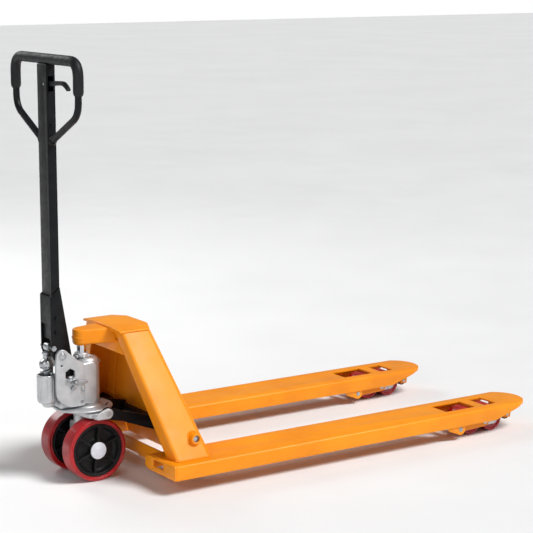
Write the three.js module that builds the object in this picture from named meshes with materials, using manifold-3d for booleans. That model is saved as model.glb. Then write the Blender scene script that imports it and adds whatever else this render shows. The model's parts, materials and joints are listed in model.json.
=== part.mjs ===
// Hand pallet truck (pallet jack) with tandem load rollers, in millimetres, +Z up.
// The forks point along +X and the operator stands at the -X end, so +Y is the left side.
// While the truck is built, X = 0 is the ram's axis, about which the pump and wheels steer.
// The whole truck is then shifted so that its origin is the centre of its footprint, on the floor.
import * as THREE from 'three';
import { mergeVertices } from 'three/addons/utils/BufferGeometryUtils.js';
import Module from 'manifold-3d';

const wasm = await Module();
wasm.setup();

// ---------------------------------------------------------------- driving dimensions
const GAP = 0.3;                    // between pieces that touch
const BORE_CLEARANCE = 0.3;         // radial, around a pin or shaft
const SIDES = [['left', 1], ['right', -1]];

const OVERALL_WIDTH = 685;
const FORK_WIDTH = 158;
const FORK_TOP = 87;                // height of the lowered forks
const FORK_DEPTH = 42;
const PLATE = 5;                    // sheet thickness of the forks and frame
const HEEL_X = 103;                 // front face of the heel plates
const TIP_X = 1411;
const FORK_Y = (OVERALL_WIDTH - FORK_WIDTH) / 2;
const ROD_Y = 248;                  // centre plane of a push rod

const WHEEL_RADIUS = 90;
const WHEEL_WIDTH = 50;
const WHEEL_Y = 66;                 // centre of a steering wheel's tread

const RAM_RADIUS = 14;
const RAM_SEAT_Z = 380;             // underside of the ram's seat in the head
const HEAD_TOP = 427;

const ROCKER_AXIS = [200, 140];     // x, z of the rocker shaft in the frame
const YOKE_PIN = [24, 197];         // x, z of the pins that join the rocker to the yoke
const CRANK_LENGTH = 66;
const ARM_PIVOT = [1122, 34.5];     // x, z of the swing arm's fixed pin
const ROLLER_X = [1193, 1277];      // load roller axles
const ROLLER_RADIUS = 40;
const ENTRY_ROLLER = [1342, 42];

const HANDLE_PIVOT = [-81, 363];    // x, z
const MAST_X = -92;
const LOOP_TOP = 1188;              // height of the loop's top centre line
const PISTON_X = -112;

// ---------------------------------------------------------------- materials
function finish(color, roughness, metalness) {
  return new THREE.MeshStandardMaterial({ color, roughness, metalness });
}
const yellowPaint = finish(0xf9a01b, 0.38, 0.0);
const blackPaint = finish(0x1b1c1e, 0.45, 0.0);
const gripRubber = finish(0x26272a, 0.6, 0.0);
const silverPaint = finish(0xb9bcc0, 0.42, 0.35);
const zinc = finish(0xa9adb2, 0.3, 0.85);
const chrome = finish(0xd5d8dc, 0.12, 1.0);
const redPolyurethane = finish(0xa8121f, 0.4, 0.0);
const hubBlack = finish(0x18191a, 0.55, 0.0);
const capGrey = finish(0xd3d4d6, 0.5, 0.0);
const nylonGrey = finish(0x4b4d50, 0.6, 0.0);
const springSteel = finish(0x9a9da2, 0.3, 0.9);

// ---------------------------------------------------------------- solids
function toSolid(geometry) {
  const bare = geometry.clone();
  bare.deleteAttribute('normal');
  bare.deleteAttribute('uv');
  const merged = mergeVertices(bare, 1e-4);
  const vertProperties = new Float32Array(merged.attributes.position.array);
  const triVerts = new Uint32Array(merged.index.array);
  return new wasm.Manifold(new wasm.Mesh({ numProp: 3, vertProperties, triVerts }));
}

function toGeometry(solid) {
  const mesh = solid.getMesh();
  const geometry = new THREE.BufferGeometry();
  geometry.setAttribute('position', new THREE.BufferAttribute(mesh.vertProperties, 3));
  geometry.setIndex(new THREE.BufferAttribute(mesh.triVerts, 1));
  geometry.computeVertexNormals();
  return geometry;
}

function join(first, ...others) {
  return others.reduce((whole, other) => whole.add(other), first);
}

function cut(first, ...others) {
  return others.reduce((rest, other) => rest.subtract(other), first);
}

function block(x0, x1, y0, y1, z0, z1) {
  const geometry = new THREE.BoxGeometry(Math.abs(x1 - x0), Math.abs(y1 - y0), Math.abs(z1 - z0));
  geometry.translate((x0 + x1) / 2, (y0 + y1) / 2, (z0 + z1) / 2);
  return toSolid(geometry);
}

function cylinderY(x, z, radius, y0, y1, segments = 16) {
  const geometry = new THREE.CylinderGeometry(radius, radius, Math.abs(y1 - y0), segments);
  geometry.translate(x, (y0 + y1) / 2, z);
  return toSolid(geometry);
}

function cylinderZ(x, y, radius, z0, z1, segments = 24) {
  const geometry = new THREE.CylinderGeometry(radius, radius, z1 - z0, segments);
  geometry.rotateX(Math.PI / 2);
  geometry.translate(x, y, (z0 + z1) / 2);
  return toSolid(geometry);
}

function cylinderX(y, z, radius, x0, x1, segments = 10) {
  const geometry = new THREE.CylinderGeometry(radius, radius, x1 - x0, segments);
  geometry.rotateZ(Math.PI / 2);
  geometry.translate((x0 + x1) / 2, y, z);
  return toSolid(geometry);
}

function polygon(points) {
  return new THREE.Shape(points.map(([a, b]) => new THREE.Vector2(a, b)));
}

// Outline in x and z, thickened from y0 to y1.
function extrudeY(shape, y0, y1, curveSegments = 4) {
  const depth = Math.abs(y1 - y0);
  const geometry = new THREE.ExtrudeGeometry(shape, { depth, bevelEnabled: false, curveSegments });
  geometry.rotateX(Math.PI / 2);
  geometry.translate(0, Math.max(y0, y1), 0);
  return toSolid(geometry);
}

// Outline in x and y, thickened from z0 to z1.
function extrudeZ(shape, z0, z1, curveSegments = 6) {
  const geometry = new THREE.ExtrudeGeometry(shape, { depth: z1 - z0, bevelEnabled: false, curveSegments });
  geometry.translate(0, 0, z0);
  return toSolid(geometry);
}

// Outline in y and z, thickened from x0 to x1.
function extrudeX(shape, x0, x1, curveSegments = 3) {
  const geometry = new THREE.ExtrudeGeometry(shape, { depth: x1 - x0, bevelEnabled: false, curveSegments });
  geometry.rotateX(Math.PI / 2);
  geometry.rotateZ(Math.PI / 2);
  geometry.translate(x0, 0, 0);
  return toSolid(geometry);
}

// A straight bar with round ends: a tangent outline around two circles.
function barShape([x0, z0], [x1, z1], r0, r1 = r0) {
  const along = Math.atan2(z1 - z0, x1 - x0);
  const length = Math.hypot(x1 - x0, z1 - z0);
  const lean = Math.acos((r0 - r1) / length);
  const shape = new THREE.Shape();
  shape.absarc(x0, z0, r0, along + lean, along - lean + 2 * Math.PI, false);
  shape.absarc(x1, z1, r1, along - lean, along + lean, false);
  return shape;
}

// Solid between two outlines with the same number of 3-D points, each in order round its edge.
function loft(first, second, outline) {
  const count = first.length;
  const flat = outline.map(([a, b]) => new THREE.Vector2(a, b));
  const turn = Math.sign(THREE.ShapeUtils.area(flat));
  const triangles = [];
  for (const [a, b, c] of THREE.ShapeUtils.triangulateShape(flat, [])) {
    const sameTurn = Math.sign(THREE.ShapeUtils.area([flat[a], flat[b], flat[c]])) === turn;
    const [p, q] = sameTurn ? [b, c] : [c, b];
    triangles.push(a, q, p, count + a, count + p, count + q);
  }
  for (let i = 0; i < count; i += 1) {
    const next = (i + 1) % count;
    triangles.push(i, next, count + next, i, count + next, count + i);
  }
  const geometry = new THREE.BufferGeometry();
  geometry.setAttribute('position', new THREE.Float32BufferAttribute([...first, ...second].flat(), 3));
  geometry.setIndex(triangles);
  const solid = toSolid(geometry);
  return solid.volume() < 0 ? toSolid(flipped(geometry)) : solid;
}

function flipped(geometry) {
  const turned = geometry.clone();
  const index = Array.from(turned.index.array);
  for (let i = 0; i < index.length; i += 3) {
    [index[i + 1], index[i + 2]] = [index[i + 2], index[i + 1]];
  }
  turned.setIndex(index);
  return turned;
}

// Solid of revolution about Y from [radius, y] points that close on themselves.
function turnedY(points, segments = 28) {
  const profile = [...points, points[0]].map(([r, y]) => new THREE.Vector2(r, y));
  return toSolid(new THREE.LatheGeometry(profile, segments));
}

// ---------------------------------------------------------------- scene graph
const jack = new THREE.Group();

function piece(name, solid, material, parent = jack) {
  const mesh = new THREE.Mesh(solid.isBufferGeometry ? solid : toGeometry(solid), material);
  mesh.name = name;
  parent.add(mesh);
  return mesh;
}

function groupAt(x, y, z, parent = jack) {
  const group = new THREE.Group();
  group.position.set(x, y, z);
  parent.add(group);
  return group;
}

// ---------------------------------------------------------------- forks
const NOSE_LENGTH = 70;
const WINDOWS = [[1092.5, 1206], [1243.5, 1292]];
const WINDOW_WIDTH = 79;
const ROD_SLOT = [158, 262];

// Plan outline of a fork about its own centre line, set in by a margin.
function forkPlan(rear, margin) {
  const half = FORK_WIDTH / 2 - margin;
  const noseStart = TIP_X - NOSE_LENGTH;
  const shape = new THREE.Shape();
  shape.moveTo(rear, -half);
  shape.lineTo(noseStart, -half);
  shape.absellipse(noseStart, 0, NOSE_LENGTH - margin, half, -Math.PI / 2, Math.PI / 2, false);
  shape.lineTo(rear, half);
  return shape;
}

// Cross-section of the folded channel, with its two top bends.
function channelSection(half, bottom, top, bend) {
  const shape = new THREE.Shape();
  shape.moveTo(-half, bottom);
  shape.lineTo(half, bottom);
  shape.absarc(half - bend, top - bend, bend, 0, Math.PI / 2, false);
  shape.absarc(-half + bend, top - bend, bend, Math.PI / 2, Math.PI, false);
  return shape;
}

function forkShell() {
  const rear = HEEL_X + PLATE + GAP;
  const bottom = FORK_TOP - FORK_DEPTH;
  const half = FORK_WIDTH / 2;
  const sideView = polygon([
    [rear, bottom], [1262, bottom], [1368, 77], [TIP_X + 1, 79], [TIP_X + 1, FORK_TOP + 1], [rear, FORK_TOP + 1],
  ]);
  const outside = extrudeZ(forkPlan(rear, 0), bottom - 1, FORK_TOP, 7)
    .intersect(extrudeX(channelSection(half, bottom - 1, FORK_TOP, 7), rear - 1, TIP_X + 1))
    .intersect(extrudeY(sideView, -half - 1, half + 1));
  const insideSection = channelSection(half - PLATE, bottom - 3, FORK_TOP - PLATE, 2);
  const inside = extrudeZ(forkPlan(rear - 1, PLATE), bottom - 2, FORK_TOP - PLATE, 5)
    .intersect(extrudeX(insideSection, rear - 2, TIP_X + 1, 1));
  return outside.subtract(inside);
}

// Ears inside the side walls, low enough to carry the swing arm's fixed pin.
function pivotLug(side) {
  const [px, pz] = ARM_PIVOT;
  const shape = new THREE.Shape();
  shape.moveTo(1064, 66);
  shape.lineTo(1078, 34);
  shape.lineTo(px - 9, pz - 14.5);
  shape.absarc(px, pz, 17, -2.1, 0.3, false);
  shape.lineTo(1150, 66);
  return extrudeY(shape, side * 69, side * 74.5);
}

function entryBracket(side) {
  const shape = polygon([[1326, 82.5], [1330, 33], [1354, 33], [1358, 82.5]]);
  return extrudeY(shape, side * 33, side * 38);
}

function fork(side) {
  const rodY = side * (ROD_Y - FORK_Y);
  const holes = WINDOWS.map(([x0, x1]) => block(x0, x1, -WINDOW_WIDTH / 2, WINDOW_WIDTH / 2, 70, 100));
  const rodSlot = block(ROD_SLOT[0], ROD_SLOT[1], rodY - 13, rodY + 13, 70, 100);
  const ends = [-1, 1];
  const whole = join(forkShell(), ...ends.map(pivotLug), ...ends.map(entryBracket));
  return cut(
    whole,
    ...holes,
    rodSlot,
    cylinderY(ARM_PIVOT[0], ARM_PIVOT[1], 7.5 + BORE_CLEARANCE, -80, 80),
    cylinderY(ENTRY_ROLLER[0], ENTRY_ROLLER[1], 5 + BORE_CLEARANCE, -50, 50, 16),
  );
}

// ---------------------------------------------------------------- frame
const LEG_BOTTOM = FORK_TOP + GAP;
const LEG_TOP = 421;
const LEG_FOOT_Y = 310;             // outer face of a leg's web at fork height
const LEG_HEAD_Y = 110;             // outer face of a leg's web at the head
const LEG_FOOT_X = [129, 237];
const LEG_HEAD_X = [72, 161];
const BULKHEAD_SLOPE = (LEG_HEAD_X[1] - LEG_FOOT_X[1]) / (LEG_TOP - FORK_TOP);

function legRing(z, side) {
  const t = (z - FORK_TOP) / (LEG_TOP - FORK_TOP);
  const webY = THREE.MathUtils.lerp(LEG_FOOT_Y, LEG_HEAD_Y, t);
  const front = THREE.MathUtils.lerp(LEG_FOOT_X[0], LEG_HEAD_X[0], t);
  const rear = THREE.MathUtils.lerp(LEG_FOOT_X[1], LEG_HEAD_X[1], t);
  const flange = THREE.MathUtils.lerp(60, 46, t);
  const web = PLATE * 1.17;         // the web leans, so a level cut through it is wider than the sheet
  const ring = [
    [front, webY], [rear, webY], [rear, webY - flange], [rear - PLATE, webY - flange],
    [rear - PLATE, webY - web], [front + PLATE, webY - web], [front + PLATE, webY - flange],
    [front, webY - flange],
  ];
  return ring.map(([x, y]) => [x, side * y, z]);
}

function leg(side) {
  const foot = legRing(LEG_BOTTOM, side);
  const head = legRing(LEG_TOP, side);
  const [x, z] = ROCKER_AXIS;
  return cut(loft(foot, head, foot), cylinderY(x, z, 15.5 + BORE_CLEARANCE, side * 240, side * 330));
}

function shaftBoss(side) {
  const [x, z] = ROCKER_AXIS;
  return cut(
    cylinderY(x, z, 15.5, side * 258, side * 297, 20),
    cylinderY(x, z, 10 + BORE_CLEARANCE, side * 250, side * 300, 20),
  );
}

function heelPlate(side) {
  const bottom = FORK_TOP - FORK_DEPTH;
  const outline = polygon([
    [342, bottom], [342, 82], [337, FORK_TOP], [188, FORK_TOP], [175, 76], [175, 52], [190, bottom],
  ].map(([y, z]) => [side * y, z]));
  const window = block(90, 120, side * 220, side * 276, 60, 80);
  return cut(extrudeX(outline, HEEL_X, HEEL_X + PLATE), window);
}

function crossBeam() {
  const outline = polygon([
    [-184, 43], [-57, 43], [-52, 47], [52, 47], [57, 43], [184, 43], [184, 84], [-184, 84],
  ]);
  return extrudeX(outline, 150, 156);
}

// Sheet that closes the back of the frame, leaning with the legs' rear edges.
function bulkhead() {
  const outline = polygon([
    [-180, 48], [180, 48], [180, 92], [300, 92], [104, 420], [-104, 420], [-300, 92], [-180, 92],
  ]);
  const geometry = toGeometry(extrudeX(outline, LEG_FOOT_X[1] + GAP, LEG_FOOT_X[1] + GAP + PLATE));
  const lean = new THREE.Matrix4().makeShear(0, 0, 0, 0, BULKHEAD_SLOPE, 0);
  geometry.applyMatrix4(lean);
  geometry.translate(-BULKHEAD_SLOPE * FORK_TOP, 0, 0);
  return toSolid(geometry);
}

function headGusset() {
  const outline = polygon([[-92, 356], [92, 356], [70, 392], [-70, 392]]);
  return extrudeX(outline, 83, 88);
}

function head() {
  const plan = new THREE.Shape();
  plan.absarc(2, 0, 27, 1.8, 2 * Math.PI - 1.8, false);
  plan.lineTo(95, -48);
  plan.lineTo(158, -48);
  plan.lineTo(158, 48);
  plan.lineTo(95, 48);
  const beam = extrudeZ(plan, 392.6, HEAD_TOP, 8);
  const seat = cylinderZ(0, 0, 19, RAM_SEAT_Z, 400);
  const nipple = cylinderX(0, 388, 2.4, -25, -17);
  return cut(
    join(beam, seat, nipple),
    block(64, 200, -120, 120, LEG_TOP, 440),
    cylinderZ(0, 0, RAM_RADIUS + BORE_CLEARANCE, RAM_SEAT_Z - 1, 410),
  );
}

function headCap() {
  const plan = polygon([[64.3, -112], [160, -112], [182, -60], [182, 60], [160, 112], [64.3, 112]]);
  const roof = polygon([[-113, 400], [113, 400], [113, 428], [52, 433], [-52, 433], [-113, 428]]);
  return extrudeZ(plan, LEG_TOP + GAP, 440).intersect(extrudeX(roof, 60, 190));
}

function buildFrame() {
  for (const [word, side] of SIDES) {
    const forkMesh = piece(`fork_${word}`, fork(side), yellowPaint);
    forkMesh.position.y = side * FORK_Y;
    piece(`heel_plate_${word}`, heelPlate(side), yellowPaint);
    piece(`leg_${word}`, leg(side), yellowPaint);
    piece(`shaft_boss_${word}`, shaftBoss(side), yellowPaint);
  }
  piece('cross_beam', crossBeam(), yellowPaint);
  piece('bulkhead', bulkhead(), yellowPaint);
  piece('head_gusset', headGusset(), yellowPaint);
  piece('head', head(), yellowPaint);
  piece('head_cap', headCap(), yellowPaint);
  piece('ram', cylinderZ(0, 0, RAM_RADIUS, 214, 409.5), chrome);
  piece('rocker_shaft', cylinderY(ROCKER_AXIS[0], ROCKER_AXIS[1], 10, -291, 291, 20), zinc);
}

// ---------------------------------------------------------------- load wheels in the forks
function swingArm(side) {
  const [px, pz] = ARM_PIVOT;
  const bogieX = (ROLLER_X[0] + ROLLER_X[1]) / 2 - px;
  const bogieZ = ROLLER_RADIUS - pz;
  const pinAngle = THREE.MathUtils.degToRad(118);
  const pinReach = 34.5;
  const pin = [pinReach * Math.cos(pinAngle), pinReach * Math.sin(pinAngle)];
  const rodY = side * (ROD_Y - FORK_Y);
  const cheek = barShape([0, 0], [bogieX, bogieZ], 14, 15);
  const lever = barShape([0, 0], pin, 11, 9);
  const solid = join(
    cylinderY(0, 0, 11, -57, 57),
    extrudeY(cheek, 49, 57),
    extrudeY(cheek, -57, -49),
    extrudeY(lever, rodY + 7, rodY + 13),
    extrudeY(lever, rodY - 13, rodY - 7),
    cylinderY(pin[0], pin[1], 5, rodY - 13, rodY + 13, 16),
  );
  return cut(
    solid,
    cylinderY(0, 0, 7.5 + BORE_CLEARANCE, -60, 60),
    cylinderY(bogieX, bogieZ, 9 + BORE_CLEARANCE, -60, 60),
  );
}

// Two side plates carried by the arm's ends, joined by the two roller axles.
function bogie() {
  const reach = (ROLLER_X[1] - ROLLER_X[0]) / 2;
  const cheek = barShape([-reach, 0], [reach, 0], 16);
  return join(
    extrudeY(cheek, 41, 47),
    extrudeY(cheek, -47, -41),
    cylinderY(0, 0, 9, 45, 58),
    cylinderY(0, 0, 9, -58, -45),
    cylinderY(-reach, 0, 10, -44, 44),
    cylinderY(reach, 0, 10, -44, 44),
  );
}

function loadRoller() {
  const bore = 10 + BORE_CLEARANCE;
  return turnedY([
    [bore, -38], [38, -38], [ROLLER_RADIUS, -36], [ROLLER_RADIUS, 36], [38, 38], [bore, 38],
  ], 28);
}

function entryRoller() {
  const bore = 5 + BORE_CLEARANCE;
  return turnedY([[bore, -30], [16, -30], [17, -29], [17, 29], [16, 30], [bore, 30]], 18);
}

function buildLoadWheels() {
  for (const [word, side] of SIDES) {
    const [px, pz] = ARM_PIVOT;
    const arm = groupAt(px, side * FORK_Y, pz);
    piece(`swing_arm_${word}`, swingArm(side), yellowPaint, arm);
    piece(`arm_pivot_pin_${word}`, cylinderY(0, 0, 7.5, -76, 76), zinc, arm);
    const middle = (ROLLER_X[0] + ROLLER_X[1]) / 2;
    const carriage = groupAt(middle, side * FORK_Y, ROLLER_RADIUS);
    piece(`bogie_${word}`, bogie(), zinc, carriage);
    ROLLER_X.forEach((x, i) => {
      const end = ['rear', 'front'][i];
      const roller = piece(`load_roller_${end}_${word}`, loadRoller(), redPolyurethane, carriage);
      roller.position.x = x - middle;
    });
    const nose = groupAt(ENTRY_ROLLER[0], side * FORK_Y, ENTRY_ROLLER[1]);
    piece(`entry_roller_${word}`, entryRoller(), nylonGrey, nose);
    piece(`entry_axle_${word}`, cylinderY(0, 0, 5, -39.5, 39.5, 16), zinc, nose);
  }
}

// ---------------------------------------------------------------- rocker and push rods
const ROCKER_REACH = Math.hypot(YOKE_PIN[0] - ROCKER_AXIS[0], YOKE_PIN[1] - ROCKER_AXIS[1]);
const ROCKER_ANGLE = Math.atan2(YOKE_PIN[1] - ROCKER_AXIS[1], YOKE_PIN[0] - ROCKER_AXIS[0]);
const CRANK_ANGLE = THREE.MathUtils.degToRad(17.35);
const CRANK_PIN = [-CRANK_LENGTH * Math.sin(CRANK_ANGLE), -CRANK_LENGTH * Math.cos(CRANK_ANGLE)];

function along(distance) {
  return [distance * Math.cos(ROCKER_ANGLE), distance * Math.sin(ROCKER_ANGLE)];
}

function uprightRing(x, y0, y1, z0, z1) {
  return [[x, y0, z0], [x, y1, z0], [x, y1, z1], [x, y0, z1]];
}

// About the shaft's axis: a torque tube, two long arms to the yoke and two cranks at its ends.
function rocker() {
  const square = [[0, 0], [1, 0], [1, 1], [0, 1]];
  const parts = [cylinderY(0, 0, 15.5, -254, 254, 20)];
  const [kneeX, kneeZ] = along(ROCKER_REACH - 58);
  const [eyeX, eyeZ] = along(ROCKER_REACH - 4);
  for (const side of [1, -1]) {
    const rear = uprightRing(6, side * 118, side * 126, -22, 22);
    const knee = uprightRing(kneeX, side * 92, side * 100, kneeZ - 15, kneeZ + 15);
    parts.push(loft(rear, knee, square));
    parts.push(extrudeY(barShape([kneeX + 2, kneeZ], [eyeX, eyeZ], 14, 17), side * 92, side * 100));
    parts.push(extrudeY(barShape([0, 0], CRANK_PIN, 17, 10), side * 242, side * 254));
  }
  const slot = barShape(along(ROCKER_REACH - 9.5), along(ROCKER_REACH + 0.5), 9);
  return cut(
    join(...parts),
    extrudeY(slot, -110, 110),
    cylinderY(0, 0, 10 + BORE_CLEARANCE, -260, 260, 20),
    cylinderY(CRANK_PIN[0], CRANK_PIN[1], 5 + BORE_CLEARANCE, -260, 260, 16),
  );
}

// About the crank pin: an eye either side of the crank, a bar, and an open notch at its far end.
function pushRod() {
  const length = ARM_PIVOT[0] - 16.2 - (ROCKER_AXIS[0] + CRANK_PIN[0]);
  const drop = 65 - (ROCKER_AXIS[1] + CRANK_PIN[1]);
  const eyes = barShape([0, 0], [34, -9], 9, 6);
  const bar = polygon([
    [30, -16], [length - 30, drop - 13], [length + 13, drop - 12], [length + 13, drop + 11],
    [length - 30, drop + 11], [length - 60, drop + 5], [60, -3], [30, -3],
  ]);
  const notch = block(length - 5.6, length + 7.5, -20, 20, drop - 5.4, drop + 30);
  const solid = join(
    extrudeY(eyes, 6.5, 11.5),
    extrudeY(eyes, -11.5, -6.5),
    block(30, 44, -11.5, 11.5, -15, -3),
    extrudeY(bar, -6, 6),
    cylinderY(0, 0, 5, -11.5, 11.5, 16),
  );
  return cut(solid, notch);
}

function buildRocker() {
  const pivot = groupAt(ROCKER_AXIS[0], 0, ROCKER_AXIS[1]);
  piece('rocker', rocker(), blackPaint, pivot);
  for (const [word, side] of SIDES) {
    const rod = piece(`push_rod_${word}`, pushRod(), zinc, pivot);
    rod.position.set(CRANK_PIN[0], side * ROD_Y, CRANK_PIN[1]);
  }
}

// ---------------------------------------------------------------- yoke, which keeps its height
function yoke() {
  const [px, pz] = YOKE_PIN;
  const plan = polygon([
    [-33, -34], [-14, -89], [50, -89], [54, -34], [54, 34], [50, 89], [-14, 89], [-33, 34],
  ]);
  const parts = [extrudeZ(plan, 183, 196)];
  for (const side of [1, -1]) {
    parts.push(extrudeY(barShape([-6, 192], [px, pz], 9, 15.5), side * 103, side * 112));
    parts.push(block(-15, -5, side * 85, side * 112, 183, 196));
  }
  return cut(
    join(...parts),
    cylinderZ(0, 0, 28, 170, 210),
    cylinderY(px, pz, 8 + BORE_CLEARANCE, -120, 120),
  );
}

function thrustBearing() {
  return cut(cylinderZ(0, 0, 46, 196.3, 198.7), cylinderZ(0, 0, 30, 190, 205));
}

function buildYoke() {
  piece('yoke', yoke(), silverPaint);
  piece('thrust_bearing', thrustBearing(), zinc);
  for (const [word, side] of SIDES) {
    const pin = cylinderY(YOKE_PIN[0], YOKE_PIN[1], 8, side * 86, side * 113);
    piece(`rocker_pin_${word}`, pin, zinc);
  }
}

// ---------------------------------------------------------------- pump and steering
const RESERVOIR_X = 14;
const RESERVOIR_RADIUS = 37;
const PUMP_TOP = 345;

function steerBase() {
  const solid = join(
    cylinderZ(0, 0, 86, 199, 205, 36),
    cylinderZ(0, 0, 26, 150, 200),
    block(-26, 26, -35, 35, 66, 156),
  );
  return cut(solid, cylinderY(0, 90, 10 + BORE_CLEARANCE, -60, 60));
}

function pumpEar(side) {
  const [px, pz] = HANDLE_PIVOT;
  const shape = new THREE.Shape();
  shape.moveTo(-20, 215);
  shape.lineTo(-20, 338);
  shape.lineTo(-38, 344);
  shape.absarc(px, pz, 19, 0.75, Math.PI - 0.2, false);
  shape.lineTo(-103, 340);
  shape.lineTo(-103, 246);
  shape.lineTo(-84, 226);
  shape.lineTo(-60, 215);
  return extrudeY(shape, side * 33, side * 44);
}

// One casting: oil reservoir round the ram's cylinder, two ears for the handle and the pump's cup.
function pumpBody() {
  const [px, pz] = HANDLE_PIVOT;
  const window = new THREE.Shape();
  window.absarc(-58, 308, 14, 0.5, 2 * Math.PI + 0.5, false);
  const solid = join(
    cylinderZ(RESERVOIR_X, 0, RESERVOIR_RADIUS, 205.3, PUMP_TOP, 28),
    pumpEar(1),
    pumpEar(-1),
    block(-30, 4, -44, 44, 212, 336),
    block(-100, -20, -34, 34, 226, 296),
    cylinderZ(PISTON_X, 0, 27, 226, 308),
  );
  return cut(
    solid,
    cylinderZ(0, 0, RAM_RADIUS + BORE_CLEARANCE, 212, 400),
    cylinderZ(PISTON_X, 0, 22, 232, 320),
    cylinderY(px, pz, 8 + BORE_CLEARANCE, -60, 60),
    extrudeY(window, -60, -30, 3),
    extrudeY(window, 30, 60, 3),
  );
}

function gland() {
  return cut(
    cylinderZ(0, 0, 21, PUMP_TOP + GAP, 358),
    cylinderZ(0, 0, RAM_RADIUS + BORE_CLEARANCE, 340, 365),
  );
}

// About its own pivot on the pump's right-hand ear.
function releaseLever() {
  const shape = barShape([-22, 6], [0, 0], 5, 8);
  const toe = barShape([0, 0], [34, -4], 7, 4);
  return join(extrudeY(shape, -4, 4), extrudeY(toe, -4, 4), cylinderY(0, 0, 4, -4, 4.6));
}

// Piston with the dished spring cap that the handle's roller presses on.
function pumpPiston() {
  const profile = [
    [0, 270], [9, 270], [9, 331], [19.4, 331], [19.4, 347], [15, 352], [7, 352], [7, 366], [11, 367],
    [11, 373.5], [0, 373.5],
  ].map(([r, z]) => new THREE.Vector2(r, z));
  const geometry = new THREE.LatheGeometry(profile, 20);
  geometry.rotateX(Math.PI / 2);
  return toSolid(geometry);
}

class Helix extends THREE.Curve {
  constructor(radius, z0, z1, turns) {
    super();
    Object.assign(this, { radius, z0, z1, turns });
  }

  getPoint(t, target = new THREE.Vector3()) {
    const angle = 2 * Math.PI * this.turns * t;
    const z = THREE.MathUtils.lerp(this.z0, this.z1, t);
    return target.set(this.radius * Math.cos(angle), this.radius * Math.sin(angle), z);
  }
}

function circle(radius) {
  const shape = new THREE.Shape();
  shape.absarc(0, 0, radius, 0, 2 * Math.PI, false);
  return shape;
}

function spring() {
  const extrudePath = new Helix(15.5, 235, 328, 7);
  const geometry = new THREE.ExtrudeGeometry(circle(2), { steps: 63, curveSegments: 3, extrudePath });
  return toSolid(geometry);
}

function hub(side) {
  const bore = 10 + BORE_CLEARANCE;
  const face = WHEEL_WIDTH / 2;
  const rim = face - 2;
  const dish = turnedY([
    [bore, -face], [24, -face], [26, -6], [62, -6], [66, -rim], [76.7, -rim], [76.7, rim], [66, rim],
    [62, 6], [26, 6], [24, face], [bore, face],
  ], 28);
  const ribs = [];
  for (let i = 0; i < 6; i += 1) {
    const geometry = new THREE.BoxGeometry(42, 22, 6);
    geometry.translate(44, side * 9, 0);
    geometry.rotateY((i * Math.PI) / 3 + 0.4);
    ribs.push(toSolid(geometry));
  }
  return join(dish, ...ribs);
}

function tyre() {
  const face = WHEEL_WIDTH / 2;
  return turnedY([
    [77, 1 - face], [79, -face], [WHEEL_RADIUS - 3, -face], [WHEEL_RADIUS, 3 - face],
    [WHEEL_RADIUS, face - 3], [WHEEL_RADIUS - 3, face], [79, face], [77, face - 1],
  ], 36);
}

function hubCap(side) {
  const profile = [[0, 25.3], [24.5, 25.3], [24.5, 27], [22, 29.5], [0, 30.5]];
  const points = profile.map(([r, y]) => new THREE.Vector2(r, y));
  const geometry = new THREE.LatheGeometry(points, 24);
  return toSolid(side > 0 ? geometry : geometry.rotateX(Math.PI));
}

function buildSteering() {
  piece('steer_base', steerBase(), silverPaint);
  piece('pump_body', pumpBody(), silverPaint);
  piece('gland', gland(), silverPaint);
  piece('filler_plug', cylinderX(0, 327, 6, RESERVOIR_X + RESERVOIR_RADIUS + GAP, 57, 6), zinc);
  piece('steer_axle', cylinderY(0, WHEEL_RADIUS, 10, -90.5, 90.5), zinc);
  const lever = groupAt(-44, -49, 286);
  piece('release_lever', releaseLever(), zinc, lever);
  const pump = groupAt(PISTON_X, 0, 0);
  piece('pump_piston', pumpPiston(), zinc, pump);
  piece('pump_spring', spring(), springSteel, pump);
  for (const [word, side] of SIDES) {
    const wheel = groupAt(0, side * WHEEL_Y, WHEEL_RADIUS);
    piece(`wheel_hub_${word}`, hub(side), hubBlack, wheel);
    piece(`wheel_tyre_${word}`, tyre(), redPolyurethane, wheel);
    piece(`hub_cap_${word}`, hubCap(side), capGrey, wheel);
  }
}

// ---------------------------------------------------------------- handle
const MAST_SIZE = [26, 56];
const MAST_WALL = 2.5;
const LOOP_HALF = 190;
const LEVER_PIVOT = [-10, 1120];    // y, z

function mast() {
  const [w, d] = MAST_SIZE.map((size) => size / 2);
  const bottom = 410;
  const top = 1173;
  const outer = block(MAST_X - w, MAST_X + w, -d, d, bottom, top);
  const [wi, di] = [w - MAST_WALL, d - MAST_WALL];
  const inner = block(MAST_X - wi, MAST_X + wi, -di, di, 400, 1165);
  const slot = block(MAST_X - 8, MAST_X + 8, -d - 5, -d + 10, 1100, 1142);
  const pinHole = cylinderX(LEVER_PIVOT[0], LEVER_PIVOT[1], 3 + BORE_CLEARANCE, MAST_X - 20, MAST_X + 20);
  return cut(outer, inner, slot, pinHole);
}

// Folded bracket round the foot of the mast, open towards the operator below its web.
function clevis() {
  const plate = polygon([
    [-110, 378], [-101, 352], [-46, 352], [-80, 557], [-110, 533],
  ]);
  const web = block(-110, -106, -32, 32, 452, 533);
  const solid = join(extrudeY(plate, 28.3, 32), extrudeY(plate, -32, -28.3), web);
  const [px, pz] = HANDLE_PIVOT;
  return cut(
    solid,
    cylinderY(px, pz, 8 + BORE_CLEARANCE, -40, 40),
    cylinderY(-103, 386, 5 + BORE_CLEARANCE, -40, 40, 16),
  );
}

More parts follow.
